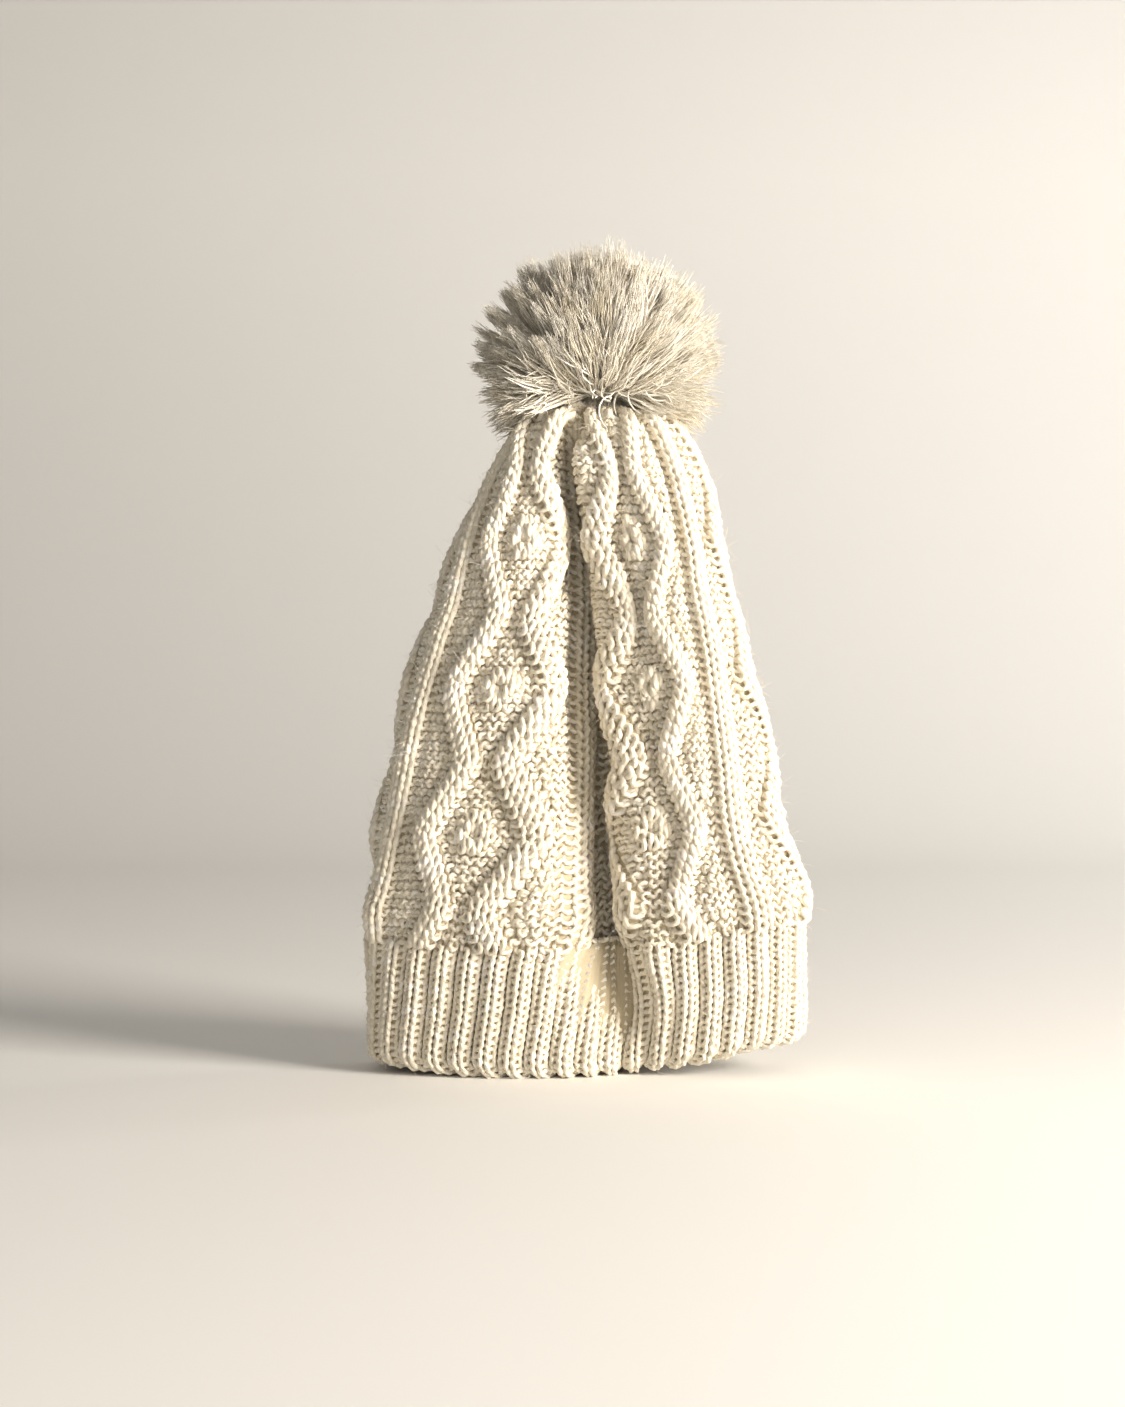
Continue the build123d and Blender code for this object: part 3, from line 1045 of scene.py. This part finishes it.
def strand_line(way, points, r, size):
    """The middle line of a tuft: out of the waist, then up and over, or down where it hangs."""
    tip = ROOT + way * pile_reach(way) * size
    flat = np.array([way[0], way[1], 0.0]) / (math.hypot(way[0], way[1]) + 1e-9)
    root = ROOT + flat * r.uniform(3, 7) * MM + np.array([0, 0, r.uniform(-4, 4.5) * MM])
    t = np.linspace(0, 1, points)[:, None]
    bow = (root + tip) / 2 + r.normal(0, 2.5 * MM, 3)
    if way[2] < 0.25:
        bow = bow + np.array([0, 0, 7 * MM * (0.25 - way[2])])
    if way[1] < 0:
        low = -way[1] * max(0.0, 1 - abs(way[2] - 0.2))
        bow = bow + np.array([-way[0] * 3 * MM * low, -9 * MM * low, -8 * MM * low])
        tip = tip + np.array([0, 4 * MM, 5 * MM]) * low
    return root * (1 - t) ** 2 + 2 * bow * t * (1 - t) + tip * t**2


def tufts(ways, seed, filaments, size, points=6):
    """The filaments of a tuft in each direction, and for each its dye lot."""
    r = np.random.default_rng(seed)
    lines, lots = [], []
    for way in ways:
        left = smooth((-way[0] - 0.05) / 0.6)
        long = size * (1 + r.normal(0, 0.045) + 0.04 * left)
        line = strand_line(way, points, r, long)
        spread = MM * (4.6 - 0.4 * left) * r.uniform(0.7, 1.5)
        close = MM * (6.0 - 4.6 * left) * r.uniform(0.5, 1.2)
        lines.append(bundle(line, filaments, spread, close, r))
        lots.append(np.full(filaments, r.choice(3, p=[0.5, 0.34, 0.16])))
    return np.concatenate(lines), np.concatenate(lots)


def taper(points, thick):
    """Thickness along a filament: full, then fine at its cut end."""
    t = np.linspace(0, 1, points)
    return thick * (0.8 + 0.45 * np.sin(math.pi * np.clip(t * 0.9, 0, 1))) * np.where(t > 0.95, 0.35, 1)


def kept(way):
    """False for the few directions low in front, where the roots show."""
    return not (way[1] < -0.25 and way[2] < 0.02 and abs(way[0] + 0.1) < 0.5)


POM_LOTS = (POM_WARM, POM_PALE, POM_DEEP)
ball = [way for way in directions(560, 3) if way[2] > 0.13 and kept(way)]
pompom_outer = []
for k, seed in enumerate((4, 5, 6)):
    ways = ball[k::3]
    outer_lines, outer_lots = tufts(ways, seed, 5700 // len(ways), 1.0)
    pompom_outer.append(
        yarn(f"pompom_strands_{k + 1}", outer_lines, taper(6, 0.27 * MM)[None], outer_lots[:, None], 3,
             materials=POM_LOTS)
    )
under = [way for way in directions(520, 8) if way[2] > 0.13 and kept(way)]
inner_lines, inner_lots = tufts(under, 9, 9, 0.84, 5)
pompom_inner = yarn(
    "pompom_under_strands", inner_lines, taper(5, 0.5 * MM)[None], inner_lots[:, None], 3, materials=POM_LOTS
)
skirt = [way for way in directions(820, 14) if -0.42 < way[2] < 0.16 and kept(way)
         and (abs(way[0]) > 0.62 or way[2] > -0.2)]
pompom_skirts = []
for name, seed, ways in (
    ("pompom_skirt_sides", 15, [way for way in skirt if abs(way[0]) > abs(way[1])]),
    ("pompom_skirt_front_and_back", 16, [way for way in skirt if abs(way[0]) <= abs(way[1])]),
):
    skirt_lines, skirt_lots = tufts(ways, seed, 11, 0.97)
    pompom_skirts.append(
        yarn(name, skirt_lines, taper(6, 0.38 * MM)[None], skirt_lots[:, None], 3, materials=POM_LOTS)
    )

# %% [markdown]
# The strands' middles, squeezed by the binding, are parallel strands that fan out above and
# below the waist. Low in front a few loose strands have curled out of the pompom over the crown.

# %% The bound middle and the loose curls
core_lines = []
core_rng = np.random.default_rng(21)
for k in range(150):
    a = 2 * math.pi * k / 150 + core_rng.normal(0, 0.03)
    layer = core_rng.choice([1.0, 0.8, 0.55])
    z = np.linspace(core_low.z + 0.3 * MM, core_high.z - 0.3 * MM, 6)
    off = (z - ROOT[2]) / (core_high.z - ROOT[2])
    radius = layer * (5.4 + 3.6 * off**2) * MM
    core_lines.append(np.stack([ROOT[0] + radius * np.cos(a), radius * np.sin(a), z], -1))
pompom_core = yarn("bound_middle", np.array(core_lines), 0.6 * MM, 0, 4, materials=POM_LOTS)


def curl(start, way, length, turns, r, points=16):
    """A loose strand that curls as it falls."""
    t = np.linspace(0, 1, points)
    way = np.array(way) / np.linalg.norm(way)
    line = np.array(start) + np.outer(t * length, way)
    line[:, 2] -= (t**2) * length * 0.35
    a = turns * 2 * math.pi * t + r.uniform(0, 6.28)
    size = length * 0.16 * np.sin(math.pi * np.clip(t * 0.8 + 0.1, 0, 1))
    line[:, 0] += size * np.cos(a)
    line[:, 2] += size * np.sin(a)
    return line


curl_rng = np.random.default_rng(17)
curls = []
for k in range(64):
    x = curl_rng.uniform(-14, 22)
    start = (x * MM, -curl_rng.uniform(12, 24) * MM, (core_low.z / MM + curl_rng.uniform(1, 10)) * MM)
    way = (curl_rng.normal(x / 30, 0.6), -0.5, curl_rng.normal(0.05, 0.4))
    curls.append(curl(start, way, curl_rng.uniform(9, 22) * MM, curl_rng.uniform(0.5, 2.0), curl_rng))
loose = yarn("loose_curled_strands", np.array(curls), taper(16, 0.34 * MM)[None], 1, 4, materials=POM_LOTS)

# %% [markdown]
# ## Stray fibres
#
# Brushed wool stands out from the yarn as a haze of fine hairs, thickest on the ridges. Real
# hairs are 0.03 mm thick, too fine to show, so these are drawn coarser and fewer.


# %% Hairs on the knitting
HAIR_THICK = 0.055 * MM


def hairs(name, surface, count, low, high, height, seed, length):
    """Fine fibres that stand out of the knitting; length is their shortest and longest in mm."""
    r = np.random.default_rng(seed)
    u = r.uniform(FIRST, BACK, count)
    m = r.uniform(low, high, count)
    points, out = surface.look(u, m)
    rise = height(u, m / MM)
    start = points + out * (rise * MM)[:, None]
    side = r.normal(size=(count, 3))
    side -= out * (side * out).sum(1)[:, None]
    side /= np.linalg.norm(side, axis=1)[:, None]
    long = r.uniform(length[0], length[1], count) * MM * r.uniform(0.5, 1, count)
    stand = r.uniform(0.15, 0.75, count)
    t = np.linspace(0, 1, 5)[None, :, None]
    bend = r.normal(0, 0.35, (count, 1, 3)) * long[:, None, None]
    way = side * (1 - stand)[:, None] + out * stand[:, None]
    lines = start[:, None] + way[:, None] * long[:, None, None] * t + bend * t**2 * 0.6
    lines += np.sin(t * math.pi) * out[:, None] * 0.6 * MM
    return yarn(name, lines, HAIR_THICK, 0, 3, materials=(HAIR,) * 3)


hair_end = body.high - 20 * MM
body_hair = hairs("body_stray_fibres", body, 5200, BAND_TOP, hair_end, body_height, 41, (4.0, 11.0))
band_hair = hairs("band_stray_fibres", band, 1500, 0.0, BAND_TOP, rib_height, 43, (3.0, 8.0))

# %% [markdown]
# ## Which body each piece rides on
#
# Everything knitted belongs to the hat. The tie swings on the crown and the pompom on the tie,
# except its side skirt and the loose curls, which ride on no body.

# %% Ride and replace
for piece in [*body_pieces, body_fabric, *band_pieces, band_fabric, *facing_pieces, band_seam, body_seam,
              chain, draw, anchor_up, anchor_knot, body_hair, band_hair]:
    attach(piece, "hat")
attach(tie, "tie")
for piece in (binding, pompom_core, *pompom_outer, pompom_inner, pompom_skirts[1]):
    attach(piece, "pompom")
for piece in (pompom_skirts[0], loose):
    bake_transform(piece)

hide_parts("crown_body")
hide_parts("brim_band", "brim_facing")
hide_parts("linking_chain")
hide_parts("brim_seam")
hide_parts("crown_seam")
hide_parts("draw_thread")
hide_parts("anchor_thread")
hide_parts("pompom_tie")
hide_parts("pompom_binding")
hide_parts("pompom_core")
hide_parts("pompom_pile")

# %% [markdown]
# ## Floor, light and camera
#
# A pale floor that sweeps up far behind the hat gives an even background. One soft light on the
# right, a little warm, models the ribs and leaves the fold in shade. A weak one in front keeps the
# shade open, and a third lights the sweep.

# %% Floor
sweep = []
for y, z in [(-3.0, -0.001), (0.0, -0.001), (1.2, -0.001)]:
    sweep.append((y, z))
for k in range(1, 13):
    a = math.pi / 2 * k / 12
    sweep.append((1.2 + 0.9 * math.sin(a), -0.001 + 0.9 * (1 - math.cos(a))))
sweep.append((2.1, 3.0))
floor_mesh = bpy.data.meshes.new("floor")
floor_mesh.from_pydata(
    [(x, y, z) for y, z in sweep for x in (-4.0, 4.0)],
    [],
    [(2 * i, 2 * i + 1, 2 * i + 3, 2 * i + 2) for i in range(len(sweep) - 1)],
)
floor_mesh.polygons.foreach_set("use_smooth", np.ones(len(floor_mesh.polygons), bool))
paper = bpy.data.materials.new("matt_paper_sweep")
paper.use_nodes = True
paper.node_tree.nodes["Principled BSDF"].inputs["Base Color"].default_value = linear("#F8F6F2")
paper.node_tree.nodes["Principled BSDF"].inputs["Roughness"].default_value = 0.9
floor_mesh.materials.append(paper)
put("floor", floor_mesh)


# %% Lights
def area_light(name, place, target, size, watts, code):
    data = bpy.data.lights.new(name, "AREA")
    data.shape, data.size, data.energy = "SQUARE", size, watts
    data.color = linear(code)[:3]
    lamp = bpy.data.objects.new(name, data)
    bpy.context.scene.collection.objects.link(lamp)
    lamp.location = place
    lamp.rotation_mode = "QUATERNION"
    lamp.rotation_quaternion = (Vector(target) - Vector(place)).to_track_quat("-Z", "Y")
    return lamp


area_light("window_side", (1.25, -0.80, 0.5), (0, 0, 0.16), 0.6, 43, "#FFF7EC")
area_light("soft_front", (-0.3, -1.9, 0.8), (0, 0, 0.16), 1.0, 5, "#FFF9F0")
area_light("on_the_sweep", (1.5, 0.7, 0.9), (0.5, 2.1, 0.4), 0.8, 11, "#FFFBF6")
world = bpy.data.worlds.new("room")
bpy.context.scene.world = world
world.use_nodes = True
world.node_tree.nodes["Background"].inputs["Color"].default_value = linear("#F4F1EC")
world.node_tree.nodes["Background"].inputs["Strength"].default_value = 0.2

# %% Camera
DISTANCE = 1.0
FRAME_HIGH = 0.633
lens = 36 * DISTANCE / FRAME_HIGH
camera_data = bpy.data.cameras.new("camera")
camera_data.lens = lens
camera_data.sensor_width = 36
camera = bpy.data.objects.new("camera", camera_data)
bpy.context.scene.collection.objects.link(camera)
camera.location = (-0.0106, -DISTANCE, 0.1627)
camera.rotation_euler = (math.pi / 2, 0, 0)
bpy.context.scene.camera = camera
bpy.context.scene.view_settings.view_transform = "Standard"

# %% Sizes and finish
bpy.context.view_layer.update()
total = sum(len(p.vertices) - 2 for o in bpy.data.objects if o.type == "MESH" and o.visible_get()
            for p in o.data.polygons)
print("triangles shown:", total)
